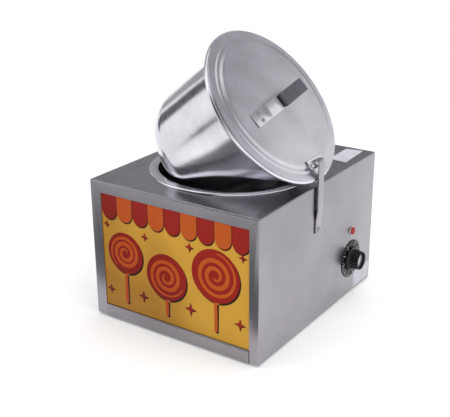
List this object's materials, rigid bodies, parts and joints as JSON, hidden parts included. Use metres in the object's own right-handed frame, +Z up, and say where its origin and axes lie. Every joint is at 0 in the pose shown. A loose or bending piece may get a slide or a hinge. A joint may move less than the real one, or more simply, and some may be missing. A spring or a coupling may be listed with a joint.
{
  "type": "candy apple cooker",
  "caption": "Countertop candy apple cooker with a tilted lift-out kettle, lid with handle, heated well, picture sign and side thermostat.",
  "frame": {"origin": "centre of the bounding box's bottom, on the surface that the feet stand on", "axes": "+Z up, -Y out of the front with the sign, +X out of the side with the thermostat"},
  "size_m": [0.3576, 0.3994, 0.4841],
  "materials": {
    "stainless": "brushed",
    "zinc_steel": "plain zinc plated",
    "spun_aluminium": "spun and polished",
    "satin_aluminium": "satin",
    "polished_steel": "polished",
    "sign_acrylic": "printed",
    "black_plastic": "moulded",
    "grip_plastic": "moulded",
    "dial_print": "printed",
    "red_lens": "clear red",
    "rubber": "moulded",
    "element_steel": "heat tinted",
    "ceramic": "fired",
    "copper": "drawn copper"
  },
  "bodies": {
    "cabinet": {"cabinet_shell": "stainless", "bottom_pan": "zinc_steel", "back_panel": "stainless", "front_rail": "stainless", "sign_panel": "sign_acrylic", "heat_baffle": "zinc_steel", "foot_front_left": "rubber", "foot_front_right": "rubber", "foot_rear_left": "rubber", "foot_rear_right": "rubber", "well_ring": "spun_aluminium", "well_liner": "zinc_steel", "heating_element": "element_steel", "element_support": "zinc_steel", "terminal_block": "ceramic", "thermostat_body": "black_plastic", "thermostat_bulb": "copper", "dial_plate": "dial_print", "pilot_bezel": "polished_steel", "pilot_lens": "red_lens", "pilot_body": "black_plastic", "cord_gland": "black_plastic", "tilt_strap": "stainless", "strap_screw": "polished_steel"},
    "kettle": {"kettle": "spun_aluminium"},
    "lid": {"lid": "satin_aluminium", "handle_strap": "polished_steel", "handle_grip": "grip_plastic", "handle_rivet_left": "satin_aluminium", "handle_rivet_right": "satin_aluminium", "lid_bracket": "polished_steel", "bracket_screw_near": "polished_steel", "bracket_screw_far": "polished_steel"},
    "knob": {"control_knob": "black_plastic", "knob_cap": "satin_aluminium", "thermostat_shaft": "zinc_steel"}
  },
  "joints": [
    {"name": "kettle_lift", "type": "slide", "parent": "cabinet", "child": "kettle", "axis": [-0.6211, 0, 0.7837], "range_m": [0, 0.2]},
    {"name": "lid_lift", "type": "slide", "parent": "kettle", "child": "lid", "axis": [-0.6211, 0, 0.7837], "range_m": [0, 0.3]},
    {"name": "thermostat_turn", "type": "hinge", "parent": "cabinet", "child": "knob", "pos_m": [0.1562, 0.11335, 0.0717], "axis": [1, 0, 0], "range_deg": [0, 300]}
  ]
}
